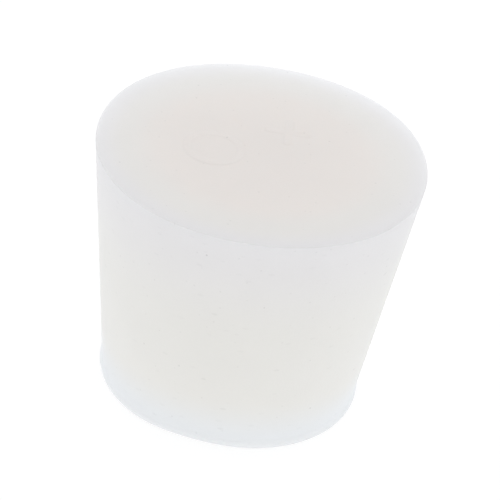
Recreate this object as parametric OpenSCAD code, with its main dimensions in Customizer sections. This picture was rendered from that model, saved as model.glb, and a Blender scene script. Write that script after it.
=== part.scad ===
// Solid tapered rubber stopper for the neck of a lab flask or tube.
// It is one moulding, turned about Z, with its small end at z = 0 and its wide end up.
// Lengths are in millimetres.

/* [Taper] */
// Diameter across the wide end, where the taper would meet the end face
wide_d = 32; // [28:0.5:60]
// Diameter of the taper at the level of the small end face
small_d = 25.2; // [16:0.2:30]
// Height from end face to end face
height = 26; // [18:0.5:60]

/* [Wide end] */
// Radius of the rim round the wide end face
rim_r = 0.1; // [0.05:0.05:1.5]

/* [Small end] */
// Section radius of the bead round the foot of the taper
bead_r = 0.5; // [0.4:0.05:1.5]
// How far the bead stands out of the tapered wall, measured square to it
bead_proud = 0.25; // [0.1:0.05:0.35]
// Radius of the hollow blend from the bead up into the tapered wall
blend_r = 1; // [0.4:0.1:2]

/* [Hidden] */
$fn = 180;

rubber_colour = [0.9, 0.89, 0.87];

wide_r = wide_d / 2;
small_r = small_d / 2;
taper_angle = atan((wide_r - small_r) / height);

// Directions in the half section: square out of the tapered wall, and up along it.
wall_out = [cos(taper_angle), -sin(taper_angle)];
wall_up = [sin(taper_angle), cos(taper_angle)];

// Centre of a circle at a height whose distance from the tapered wall is gap.
// gap is negative inside the rubber and positive outside it.
function off_wall(gap, z) = [small_r + z * tan(taper_angle) + gap / cos(taper_angle), z];

// The rim's circle touches the wide end face and the wall from inside.
rim_centre = off_wall(-rim_r, height - rim_r);
rim_on_wall = rim_centre + rim_r * wall_out;

// The bead's circle touches the small end face and swells out of the wall.
bead_centre = off_wall(bead_proud - bead_r, bead_r);

// The blend's circle touches the wall from outside and the bead from above:
// its centre keeps its distance from the wall, and climbs until the two circles meet.
blend_level = off_wall(blend_r, bead_r);
across = (blend_level - bead_centre) * wall_out;
along = (bead_centre - blend_level) * wall_up;
climb = along + sqrt(pow(bead_r + blend_r, 2) - pow(across, 2));
blend_centre = blend_level + climb * wall_up;
blend_on_wall = blend_centre - blend_r * wall_out;

// Straight-edged core of the half section, which the round edges finish.
module core_section() {
    polygon([
        [0, 0],
        [bead_centre[0], 0],
        bead_centre,
        blend_centre,
        blend_on_wall,
        rim_on_wall,
        rim_centre,
        [rim_centre[0], height],
        [0, height],
    ]);
}

module round_section(centre, r) {
    translate(centre) circle(r = r);
}

// Half section, from the axis out to the moulded wall.
module stopper_section() {
    difference() {
        core_section();
        round_section(blend_centre, blend_r);
    }
    round_section(bead_centre, bead_r);
    round_section(rim_centre, rim_r);
}

module stopper() {
    color(rubber_colour) rotate_extrude() stopper_section();
}

stopper();
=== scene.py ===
"""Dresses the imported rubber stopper: one turned piece of translucent white silicone.

The stopper is spun from its half section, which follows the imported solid, and carries
the fine things that the solid leaves out: the slight out-of-round of a soft moulding,
two faint moulded marks on the wide end, the satin grain of the mould, scuffs on the
wall, and the dust that has settled on the rubber.
"""

import logging
import math
from dataclasses import dataclass
from enum import Enum

import bmesh
import bpy
from mathutils import Matrix, Vector


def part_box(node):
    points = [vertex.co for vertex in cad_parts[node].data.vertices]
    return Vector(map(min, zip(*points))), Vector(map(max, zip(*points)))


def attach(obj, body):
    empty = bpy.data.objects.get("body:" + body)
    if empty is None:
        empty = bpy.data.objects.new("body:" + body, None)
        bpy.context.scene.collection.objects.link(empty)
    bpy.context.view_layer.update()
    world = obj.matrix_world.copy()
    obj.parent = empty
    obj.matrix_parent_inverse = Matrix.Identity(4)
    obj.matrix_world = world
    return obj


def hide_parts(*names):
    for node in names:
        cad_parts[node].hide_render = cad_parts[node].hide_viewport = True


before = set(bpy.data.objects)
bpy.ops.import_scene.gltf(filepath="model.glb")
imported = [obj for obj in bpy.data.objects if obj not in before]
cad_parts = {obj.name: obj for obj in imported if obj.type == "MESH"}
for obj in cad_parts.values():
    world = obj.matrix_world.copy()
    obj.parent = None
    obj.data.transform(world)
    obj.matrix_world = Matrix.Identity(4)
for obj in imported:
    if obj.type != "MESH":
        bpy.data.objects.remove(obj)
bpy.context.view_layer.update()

LOG = logging.getLogger("stopper")
MM = 0.001
WHITE = (1.0, 1.0, 1.0, 1.0)
FLANK = "mark_flank"
MERGE_REACH = 0.001 * MM
LEVEL_SLACK = 0.01 * MM


@dataclass
class Section:
    """The stopper's half section, in metres: x runs out from the axis and z runs up.

    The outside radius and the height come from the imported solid. The rest are the
    moulding's own sizes.
    """

    outside_r: float
    height: float
    small_r: float = 12.6 * MM
    rim_r: float = 0.1 * MM
    bead_r: float = 0.5 * MM
    bead_proud: float = 0.25 * MM
    blend_r: float = 1.0 * MM

    @property
    def rim_centre(self) -> Vector:
        """Centre of the round rim, which touches the wide end face."""
        return Vector((self.outside_r - self.rim_r, 0.0, self.height - self.rim_r))

    @property
    def taper(self) -> float:
        """Angle of the wall from upright: from the foot, the wall just touches the rim."""
        reach = self.rim_centre - Vector((self.small_r, 0.0, 0.0))
        return math.atan2(reach.x, reach.z) + math.asin(self.rim_r / reach.length)

    @property
    def wall_out(self) -> Vector:
        """Direction square out of the wall."""
        return Vector((math.cos(self.taper), 0.0, -math.sin(self.taper)))

    def off_wall(self, gap: float, level: float) -> Vector:
        """Point at a height whose distance from the wall is gap.

        Args:
            gap: Distance from the wall, which is negative inside the rubber.
            level: Height of the point.

        Returns:
            The point.
        """
        out = self.small_r + level * math.tan(self.taper) + gap / math.cos(self.taper)
        return Vector((out, 0.0, level))

    @property
    def bead_centre(self) -> Vector:
        """Centre of the bead, which touches the small end face."""
        return self.off_wall(self.bead_proud - self.bead_r, self.bead_r)

    @property
    def blend_centre(self) -> Vector:
        """Centre of the hollow blend, which touches the wall and the bead."""
        level = self.off_wall(self.blend_r, self.bead_r)
        wall_up = Vector((math.sin(self.taper), 0.0, math.cos(self.taper)))
        gap = level - self.bead_centre
        across = gap.dot(self.wall_out)
        climb = math.sqrt((self.bead_r + self.blend_r) ** 2 - across**2) - gap.dot(wall_up)
        return level + climb * wall_up


class MarkShape(Enum):
    """Plain shapes that a mould leaves on an end face."""

    RING = "ring"
    CROSS = "cross"


@dataclass(frozen=True)
class Mark:
    """A faint raised mark on the wide end face, in metres."""

    shape: MarkShape
    centre: tuple[float, float]
    reach: float
    width: float = 0.55 * MM
    flank: float = 0.25 * MM

    def share(self, x: float, y: float) -> float:
        """How much of the mark's full height a point of the face has.

        Args:
            x: Place on the face.
            y: Place on the face.

        Returns:
            A number that is 1 along the mark's line and 0 past its flanks.
        """
        across, along = abs(x - self.centre[0]), abs(y - self.centre[1])
        if self.shape is MarkShape.RING:
            away = abs(math.hypot(across, along) - self.reach)
        else:
            near, far = min(across, along), max(across, along)
            away = math.hypot(near, max(far - self.reach, 0.0))
        climb = min(max((self.width / 2 + self.flank - away) / self.flank, 0.0), 1.0)
        return climb * climb * (3.0 - 2.0 * climb)


@dataclass
class Stopper:
    """The stopper's body, turned about Z from its half section.

    The body swells in lobes, and the foot has a flat that fades out up the wall. Their
    turns are measured about Z from the front, towards +x.
    """

    section: Section
    name: str = "stopper_body"
    turns: int = 320
    arc_steps: int = 8
    face_cuts: int = 149
    wall_cuts: int = 23
    swell: float = 0.06 * MM
    lobes: int = 4
    lobe_swell: float = 0.084 * MM
    lobe_turn: float = math.radians(44.0)
    flat_depth: float = 0.3 * MM
    flat_turn: float = math.radians(-13.0)
    flat_spread: float = math.radians(19.0)
    flat_fade: float = 6.0 * MM
    mark_height: float = 0.03 * MM
    marks: tuple[Mark, ...] = (
        Mark(MarkShape.RING, centre=(-4.6 * MM, -0.6 * MM), reach=2.6 * MM),
        Mark(MarkShape.CROSS, centre=(2.2 * MM, 4.2 * MM), reach=1.9 * MM),
    )

    def arc(self, mesh: bmesh.types.BMesh, tip: bmesh.types.BMVert, centre: Vector,
            to: Vector) -> bmesh.types.BMVert:
        """Carries the section's line round an arc.

        Args:
            mesh: The mesh being drawn.
            tip: The line's last vertex.
            centre: Centre of the arc.
            to: Direction from the centre to the arc's end.

        Returns:
            The line's new last vertex.
        """
        start = tip.co - centre
        angle = math.atan2(start.z * to.x - start.x * to.z, start.x * to.x + start.z * to.z)
        made = bmesh.ops.spin(
            mesh, geom=[tip], cent=centre, axis=(0.0, 1.0, 0.0), angle=angle,
            steps=self.arc_steps,
        )
        return next(v for v in made["geom_last"] if isinstance(v, bmesh.types.BMVert))

    @staticmethod
    def straight(mesh: bmesh.types.BMesh, tip: bmesh.types.BMVert,
                 end: Vector) -> bmesh.types.BMVert:
        """Carries the section's line straight on.

        Args:
            mesh: The mesh being drawn.
            tip: The line's last vertex.
            end: Where the straight stretch ends.

        Returns:
            The line's new last vertex.
        """
        last = bmesh.ops.extrude_vert_indiv(mesh, verts=[tip])["verts"][0]
        last.co = end
        return last

    def draw_section(self, mesh: bmesh.types.BMesh) -> None:
        """Draws the half section from the axis, round the wall and back to the axis.

        Args:
            mesh: The empty mesh to draw in.
        """
        s = self.section
        tip = mesh.verts.new((0.0, 0.0, 0.0))
        tip = self.straight(mesh, tip, Vector((s.bead_centre.x, 0.0, 0.0)))
        tip = self.arc(mesh, tip, s.bead_centre, s.blend_centre - s.bead_centre)
        tip = self.arc(mesh, tip, s.blend_centre, -s.wall_out)
        tip = self.straight(mesh, tip, s.rim_centre + s.rim_r * s.wall_out)
        tip = self.arc(mesh, tip, s.rim_centre, Vector((0.0, 0.0, 1.0)))
        self.straight(mesh, tip, Vector((0.0, 0.0, s.height)))
        long_edges = [e for e in mesh.edges if e.calc_length() > s.small_r / 2]
        for edge in long_edges:
            on_face = min(vert.co.z for vert in edge.verts) > s.rim_centre.z
            cuts = self.face_cuts if on_face else self.wall_cuts
            bmesh.ops.subdivide_edges(mesh, edges=[edge], cuts=cuts)

    def relax(self, mesh: bmesh.types.BMesh) -> None:
        """Puts the stopper a little out of round, as a soft moulding comes from its mould.

        The whole body swells in low lobes, and the foot is a little flat at one place.

        Args:
            mesh: The turned stopper.
        """
        for vert in mesh.verts:
            turn = math.atan2(vert.co.x, -vert.co.y)
            lobe = math.cos(self.lobes * (turn - self.lobe_turn))
            fade = max(1.0 - vert.co.z / self.flat_fade, 0.0) ** 2
            away = math.remainder(turn - self.flat_turn, math.tau) / self.flat_spread
            swell = self.swell + self.lobe_swell * lobe
            swell -= self.flat_depth * fade * math.exp(-away * away)
            stretch = 1.0 + swell / self.section.small_r
            vert.co.x *= stretch
            vert.co.y *= stretch

    def raise_marks(self, mesh: bmesh.types.BMesh) -> None:
        """Raises the marks on the wide end, and notes where their flanks are.

        Args:
            mesh: The turned stopper.
        """
        flank = mesh.verts.layers.float.new(FLANK)
        for vert in mesh.verts:
            if vert.co.z > self.section.height - LEVEL_SLACK:
                share = max(mark.share(vert.co.x, vert.co.y) for mark in self.marks)
                vert.co.z += share * self.mark_height
                # The flank share is where the material paints shade on the marks.
                vert[flank] = 4.0 * share * (1.0 - share)

    def build(self) -> bpy.types.Object:
        """Turns the half section and raises the marks on the wide end.

        Returns:
            The finished piece.
        """
        mesh = bmesh.new()
        self.draw_section(mesh)
        bmesh.ops.spin(
            mesh, geom=mesh.verts[:] + mesh.edges[:], cent=(0.0, 0.0, 0.0),
            axis=(0.0, 0.0, 1.0), angle=math.tau, steps=self.turns, use_merge=True,
        )
        bmesh.ops.remove_doubles(mesh, verts=mesh.verts[:], dist=MERGE_REACH)
        bmesh.ops.recalc_face_normals(mesh, faces=mesh.faces[:])
        self.relax(mesh)
        self.raise_marks(mesh)
        for face in mesh.faces:
            face.smooth = True
        data = bpy.data.meshes.new(self.name)
        mesh.to_mesh(data)
        mesh.free()
        piece = bpy.data.objects.new(self.name, data)
        bpy.context.scene.collection.objects.link(piece)
        return piece


Colour = tuple[float, float, float]
Socket = bpy.types.NodeSocket


class NodeSheet:
    """Writes the nodes of a material or a world, one short call for each node."""

    def __init__(self, tree: bpy.types.NodeTree) -> None:
        """Starts on an empty tree.

        Args:
            tree: The tree to write in.
        """
        tree.nodes.clear()
        self.tree = tree

    def add(self, kind: str, inputs: dict | None = None, **settings) -> bpy.types.Node:
        """Adds a node.

        Args:
            kind: The node's type, without its ShaderNode prefix.
            inputs: For each input's name or number, a value or a socket to link to it.
            **settings: Attributes to set on the node.

        Returns:
            The node.
        """
        node = self.tree.nodes.new("ShaderNode" + kind)
        for name, value in settings.items():
            setattr(node, name, value)
        for key, value in (inputs or {}).items():
            if isinstance(value, Socket):
                self.tree.links.new(value, node.inputs[key])
            else:
                node.inputs[key].default_value = value
        return node

    def sum(self, operation: str, *values: Socket | float) -> Socket:
        """Result of a Math node on numbers or sockets."""
        return self.add("Math", dict(enumerate(values)), operation=operation).outputs[0]

    def length(self, *parts: Socket) -> Socket:
        """Length of a flat vector, given its two parts."""
        squares = [self.sum("MULTIPLY", part, part) for part in parts]
        return self.sum("SQRT", self.sum("ADD", *squares))

    def fade(self, value: Socket, start: float, end: float) -> Socket:
        """Smooth rise from 0 to 1 as value goes from start to end."""
        inputs = {"Value": value, "From Min": start, "From Max": end}
        return self.add("MapRange", inputs, interpolation_type="SMOOTHSTEP").outputs[0]

    def ramp(self, value: Socket, start: float, end: float, low: float, high: float) -> Socket:
        """Straight change from low to high as value goes from start to end."""
        inputs = {"Value": value, "From Min": start, "From Max": end, "To Min": low, "To Max": high}
        return self.add("MapRange", inputs).outputs[0]

    def blend(self, share: Socket, first: Socket | Colour, second: Socket | Colour) -> Socket:
        """Colour that goes from first to second as share goes from 0 to 1.

        Args:
            share: How far the colour has gone.
            first: Colour at a share of 0.
            second: Colour at a share of 1.

        Returns:
            The colour's socket.
        """
        ends = {name: end if isinstance(end, Socket) else (*end, 1.0)
                for name, end in (("A_Color", first), ("B_Color", second))}
        node = self.add("Mix", data_type="RGBA")
        sockets = {socket.identifier: socket for socket in node.inputs}
        self.tree.links.new(share, sockets["Factor_Float"])
        for name, end in ends.items():
            if isinstance(end, Socket):
                self.tree.links.new(end, sockets[name])
            else:
                sockets[name].default_value = end
        return next(socket for socket in node.outputs if socket.identifier == "Result_Color")

    def scale(self, colour: Socket, factor: Socket) -> Socket:
        """Colour times a number."""
        inputs = {"Vector": colour, "Scale": factor}
        return self.add("VectorMath", inputs, operation="SCALE").outputs[0]


@dataclass(frozen=True)
class Specks:
    """Small dark marks that lie here and there, nearly all of them close to the faintest.

    Each is round, or flattened level with the bench where flatten is above 1. Its core,
    a share of its radius, is evenly dark. Rarity is the power that makes dark ones rare.
    """

    spacing: float
    radius: float
    faintest: float
    darkest: float
    flatten: float = 1.0
    core: float = 0.4
    rarity: float = -1.0 / 3.0

    def shade(self, sheet: NodeSheet, place: Socket) -> Socket:
        """How much of its light the rubber keeps under the specks.

        Args:
            sheet: Where the nodes are written.
            place: Point on the rubber.

        Returns:
            A number that is 1 where the rubber is clean.
        """
        stretch = {0: place, 1: (1.0, 1.0, self.flatten)}
        flat = sheet.add("VectorMath", stretch, operation="MULTIPLY").outputs[0]
        cells = sheet.add("TexVoronoi", {"Vector": flat, "Scale": 1.0 / self.spacing}).outputs
        reach = self.radius / self.spacing
        speck = sheet.fade(cells["Distance"], reach, self.core * reach)
        luck = sheet.add("SeparateColor", {0: cells["Color"]}).outputs[0]
        depth = sheet.sum("MULTIPLY", sheet.sum("POWER", luck, self.rarity), self.faintest)
        depth = sheet.sum("MINIMUM", depth, self.darkest)
        return sheet.sum("SUBTRACT", 1.0, sheet.sum("MULTIPLY", speck, depth))


@dataclass(frozen=True)
class Grain:
    """Texture that the mould leaves: a fine satin grain over soft clouding."""

    grain_size: float = 0.22 * MM
    grain_shade: float = 0.012
    grain_height: float = 0.006 * MM
    cloud_size: float = 5.0 * MM
    cloud_shade: float = 0.014
    detail: float = 2.0

    def noise(self, sheet: NodeSheet, place: Socket, size: float) -> Socket:
        """Cloudy number round 0.5 whose lumps have a size."""
        inputs = {"Vector": place, "Scale": 1.0 / size, "Detail": self.detail}
        return sheet.add("TexNoise", inputs).outputs[0]

    def shade(self, sheet: NodeSheet, place: Socket) -> Socket:
        """Slight change of tone over the rubber.

        Args:
            sheet: Where the nodes are written.
            place: Point on the rubber.

        Returns:
            A number close to 1.
        """
        fine = sheet.ramp(self.noise(sheet, place, self.grain_size), 0.0, 1.0,
                          1.0 - self.grain_shade, 1.0 + self.grain_shade)
        broad = sheet.ramp(self.noise(sheet, place, self.cloud_size), 0.0, 1.0,
                           1.0 - self.cloud_shade, 1.0 + self.cloud_shade)
        return sheet.sum("MULTIPLY", fine, broad)

    def bump(self, sheet: NodeSheet, place: Socket) -> Socket:
        """Normal of the grained surface."""
        inputs = {"Height": self.noise(sheet, place, self.grain_size), "Distance": self.grain_height}
        return sheet.add("Bump", inputs).outputs[0]


@dataclass(frozen=True)
class Silicone:
    """Translucent white silicone rubber, satin from the mould.

    The colours run from the warm heart of each face to its edges, which are painted cooler,
    and the wall is painted bluish towards the foot: these tints are painted light, standing in
    for light that scatters through the rubber and comes up from the floor. An edge of a
    translucent body glows, because light enters it by two faces, and painted shade darkens the
    tone along the rim, the foot and the edge of the sole to hold that glow down; along the edge
    of the sole it is a painted contact shadow.
    """

    section: Section
    dust: Specks = Specks(spacing=1.2 * MM, radius=0.13 * MM, faintest=0.053, darkest=0.5)
    scuffs: Specks = Specks(spacing=2.2 * MM, radius=0.42 * MM, faintest=0.02, darkest=0.07,
                            flatten=2.2)
    grain: Grain = Grain()
    # Painted shade on the flanks of the moulded marks.
    mark_flank_painted_shade: float = 0.02
    # The band, rim and foot colours carry painted cool and bluish tints of light scattered through
    # the rubber.
    face_heart: Colour = (0.795, 0.747, 0.707)
    face_band_painted_tint: Colour = (0.780, 0.7515, 0.717)
    face_rim_painted_tint: Colour = (0.777, 0.752, 0.745)
    wall_heart: Colour = (0.761, 0.752, 0.726)
    wall_rim_painted_tint: Colour = (0.762, 0.750, 0.754)
    wall_foot_painted_tint: Colour = (0.731, 0.755, 0.780)
    band_reach: float = 2.8 * MM
    rim_reach: float = 6.5 * MM
    foot_reach: float = 6.5 * MM
    # Painted shade along the edges: the share of tone taken at each edge and how deep it reaches.
    face_rim_painted_shade: float = 0.145
    face_depth: float = 2.0 * MM
    wall_rim_painted_shade: float = 0.1
    wall_depth: float = 2.5 * MM
    rim_stretch: float = 0.5
    lip_painted_shade: float = 0.02
    lip_depth: float = 0.5 * MM
    foot_painted_shade: float = 0.135
    foot_depth: float = 1.25 * MM
    sole_painted_shadow: float = 0.13
    sole_depth: float = 0.35 * MM
    roughness: float = 0.45
    ior: float = 1.41
    translucency: float = 0.6
    depth: float = 12.0 * MM

    def tone(self, sheet: NodeSheet, place: Socket) -> Socket:
        """Rubber's own colour.

        Args:
            sheet: Where the nodes are written.
            place: Point on the rubber.

        Returns:
            The colour's socket.
        """
        x, y, level = sheet.add("SeparateXYZ", {0: place}).outputs[:3]
        out = sheet.length(x, y)
        high = self.section.height
        below = sheet.sum("MULTIPLY", sheet.sum("SUBTRACT", high, level), self.rim_stretch)
        rim = sheet.length(sheet.sum("SUBTRACT", self.section.outside_r, out), below)
        foot = sheet.length(sheet.sum("SUBTRACT", out, self.section.small_r), level)
        # Painted tint: the face goes from its heart colour to cooler band and rim colours towards
        # the rim.
        face = sheet.blend(sheet.fade(rim, self.band_reach, self.rim_reach),
                           self.face_band_painted_tint, self.face_heart)
        face = sheet.blend(sheet.fade(rim, 0.0, self.band_reach), self.face_rim_painted_tint, face)
        # Painted shade along the rim of the face, holding down the glow of the scattering.
        face = sheet.scale(face, self.painted_shade_share(sheet, rim, self.face_rim_painted_shade, self.face_depth))
        # Painted tint: the wall turns cooler towards the rim.
        wall = sheet.blend(sheet.fade(rim, 0.0, self.rim_reach), self.wall_rim_painted_tint, self.wall_heart)
        # Painted shade along the rim on the wall, in a broad band and a narrow one.
        wall = sheet.scale(wall, self.painted_shade_share(sheet, rim, self.wall_rim_painted_shade, self.wall_depth))
        wall = sheet.scale(wall, self.painted_shade_share(sheet, rim, self.lip_painted_shade, self.lip_depth))
        # Painted tint: the wall turns bluish towards the foot, standing in for light from the floor.
        wall = sheet.blend(sheet.fade(foot, 0.0, self.foot_reach), self.wall_foot_painted_tint, wall)
        wall = sheet.scale(wall, self.scuffs.shade(sheet, place))
        colour = sheet.blend(sheet.fade(level, high - self.section.rim_r, high), wall, face)
        flank = sheet.add("Attribute", attribute_name=FLANK).outputs["Fac"]
        factors = (
            # Painted shade along the foot, and a painted contact shadow along the edge of the sole.
            self.painted_shade_share(sheet, foot, self.foot_painted_shade, self.foot_depth),
            self.painted_shade_share(sheet, level, self.sole_painted_shadow, self.sole_depth),
            # Painted shade on the marks' flanks.
            sheet.ramp(flank, 0.0, 1.0, 1.0, 1.0 - self.mark_flank_painted_shade),
            self.dust.shade(sheet, place),
            self.grain.shade(sheet, place),
        )
        for factor in factors:
            colour = sheet.scale(colour, factor)
        return colour

    # Painted shade: the tone is darkened near an edge, fading with distance from it.
    @staticmethod
    def painted_shade_share(sheet: NodeSheet, away: Socket, hold: float, depth: float) -> Socket:
        """Share of the tone that is kept at a distance from an edge.

        Args:
            sheet: Where the nodes are written.
            away: Distance from the edge.
            hold: Share of the tone that painted shade takes away at the edge itself.
            depth: How deep into the face the painted shade reaches.

        Returns:
            The share's socket.
        """
        decay = sheet.sum("EXPONENT", sheet.sum("MULTIPLY", away, -1.0 / depth))
        return sheet.sum("SUBTRACT", 1.0, sheet.sum("MULTIPLY", decay, hold))

    def material(self) -> bpy.types.Material:
        """Builds the material."""
        made = bpy.data.materials.new("silicone")
        made.use_nodes = True
        sheet = NodeSheet(made.node_tree)
        place = sheet.add("TexCoord").outputs["Object"]
        shader = sheet.add(
            "BsdfPrincipled",
            {
                "Base Color": self.tone(sheet, place),
                "Roughness": self.roughness,
                "IOR": self.ior,
                "Normal": self.grain.bump(sheet, place),
                "Subsurface Weight": self.translucency,
                "Subsurface Radius": (1.0, 1.0, 1.0),
                "Subsurface Scale": self.depth,
            },
            subsurface_method="RANDOM_WALK",
        )
        sheet.add("OutputMaterial", {"Surface": shader.outputs[0]})
        return made


@dataclass(frozen=True)
class Studio:
    """The pale floor and the soft light, which aren't part of the stopper.

    The light is a white tent. Its roof, front, back, left and right each have their own
    strength, and seam says how quickly one side's strength gives way to the other's.
    """

    floor_reach: float = 3.0
    floor_sides: int = 96
    floor_gap: float = 0.02 * MM
    floor_tone: float = 0.45
    floor_glow: float = 0.8
    floor_white: float = 0.85
    white_share: float = 0.5
    roof: float = 1.07
    front: float = 0.61
    back: float = 1.2
    left: float = 0.7
    right: float = 0.76
    seam: float = 0.05
    front_tint: Colour = (1.010, 1.0, 0.980)
    side_tint: Colour = (0.973, 1.0, 1.037)

    def floor(self) -> None:
        """Lays a pale lit table, which shows white and keeps the stopper's soft shadow."""
        mesh = bmesh.new()
        bmesh.ops.create_circle(
            mesh, cap_ends=True, radius=self.floor_reach, segments=self.floor_sides,
        )
        bmesh.ops.translate(mesh, verts=mesh.verts[:], vec=(0.0, 0.0, -self.floor_gap))
        data = bpy.data.meshes.new("floor")
        mesh.to_mesh(data)
        mesh.free()
        made = bpy.data.materials.new("pale_floor")
        made.use_nodes = True
        sheet = NodeSheet(made.node_tree)
        path = sheet.add("LightPath").outputs
        seen = sheet.sum("MAXIMUM", path["Is Camera Ray"], path["Is Glossy Ray"])
        seen = sheet.sum("MAXIMUM", seen, path["Is Transmission Ray"])
        paper = sheet.add("BsdfDiffuse", {"Color": (*[self.floor_tone] * 3, 1.0)})
        glow = sheet.add("Emission", {"Color": WHITE, "Strength": self.floor_glow})
        lit = sheet.add("AddShader", {0: paper.outputs[0], 1: glow.outputs[0]})
        white = sheet.add("Emission", {"Color": WHITE, "Strength": self.floor_white})
        share = sheet.sum("MULTIPLY", seen, self.white_share)
        mixed = sheet.add("MixShader", {0: share, 1: lit.outputs[0], 2: white.outputs[0]})
        sheet.add("OutputMaterial", {"Surface": mixed.outputs[0]})
        data.materials.append(made)
        floor = bpy.data.objects.new("floor", data)
        bpy.context.scene.collection.objects.link(floor)

    def light(self) -> None:
        """Lights the scene from all round, as a white tent does, each side at its strength."""
        world = bpy.data.worlds.new("tent")
        world.use_nodes = True
        bpy.context.scene.world = world
        sheet = NodeSheet(world.node_tree)
        way = sheet.add("SeparateXYZ", {0: sheet.add("TexCoord").outputs["Generated"]}).outputs
        x, y, z = way[:3]
        levels = (
            sheet.ramp(x, -self.seam, self.seam, self.left, self.right),
            sheet.ramp(y, -self.seam, self.seam, self.front, self.back),
            self.roof,
        )
        shares = [sheet.sum("MULTIPLY", sheet.sum("MULTIPLY", part, part), level)
                  for part, level in zip((x, y, z), levels)]
        strength = sheet.sum("ADD", sheet.sum("ADD", shares[0], shares[1]), shares[2])
        tint = sheet.blend(sheet.fade(y, 0.0, -1.0), self.side_tint, self.front_tint)
        tent = sheet.add("Background", {"Color": tint, "Strength": strength})
        white = sheet.add("Background", {"Color": WHITE, "Strength": 1.0})
        seen = sheet.add("LightPath").outputs["Is Camera Ray"]
        mixed = sheet.add("MixShader", {0: seen, 1: tent.outputs[0], 2: white.outputs[0]})
        sheet.add("OutputWorld", {"Surface": mixed.outputs[0]})


@dataclass(frozen=True)
class Viewpoint:
    """Where the camera stands round the middle of the stopper.

    Lengths are in metres and angles in degrees, but lens and sensor are in millimetres.
    """

    distance: float = 0.32
    elevation: float = 34.11
    roll: float = 9.0
    yaw: float = 0.052
    pitch: float = 0.245
    lens: float = 236.15
    sensor: float = 36.0
    near: float = 0.01
    far: float = 20.0

    def camera(self, middle: Vector) -> None:
        """Makes the scene's camera.

        Args:
            middle: The middle of the stopper.
        """
        data = bpy.data.cameras.new("camera")
        data.lens = self.lens
        data.sensor_width = self.sensor
        data.clip_start, data.clip_end = self.near, self.far
        camera = bpy.data.objects.new("camera", data)
        rise = math.radians(self.elevation)
        back = Vector((0.0, -math.cos(rise), math.sin(rise)))
        right = Vector((1.0, 0.0, 0.0))
        up = right.cross(-back)
        look = (-back + math.tan(math.radians(self.yaw)) * right
                + math.tan(math.radians(self.pitch)) * up).normalized()
        turn = look.to_track_quat("-Z", "Y").to_matrix()
        turn = turn @ Matrix.Rotation(math.radians(self.roll), 3, "Z")
        camera.matrix_world = Matrix.Translation(middle + self.distance * back) @ turn.to_4x4()
        bpy.context.scene.collection.objects.link(camera)
        bpy.context.scene.camera = camera


def main() -> None:
    """Builds the stopper, its finish and the studio round it."""
    logging.basicConfig(level=logging.INFO, format="%(name)s: %(message)s")
    bpy.context.scene.view_settings.view_transform = "Standard"
    low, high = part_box("stopper")
    section = Section(outside_r=(high.x - low.x) / 2, height=high.z - low.z)
    piece = Stopper(section).build()
    piece.data.materials.append(Silicone(section).material())
    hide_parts("stopper")
    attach(piece, "root")
    LOG.info("%s: %d faces", piece.name, len(piece.data.polygons))
    studio = Studio()
    studio.floor()
    studio.light()
    Viewpoint().camera((low + high) / 2)


if __name__ == "__main__":
    main()
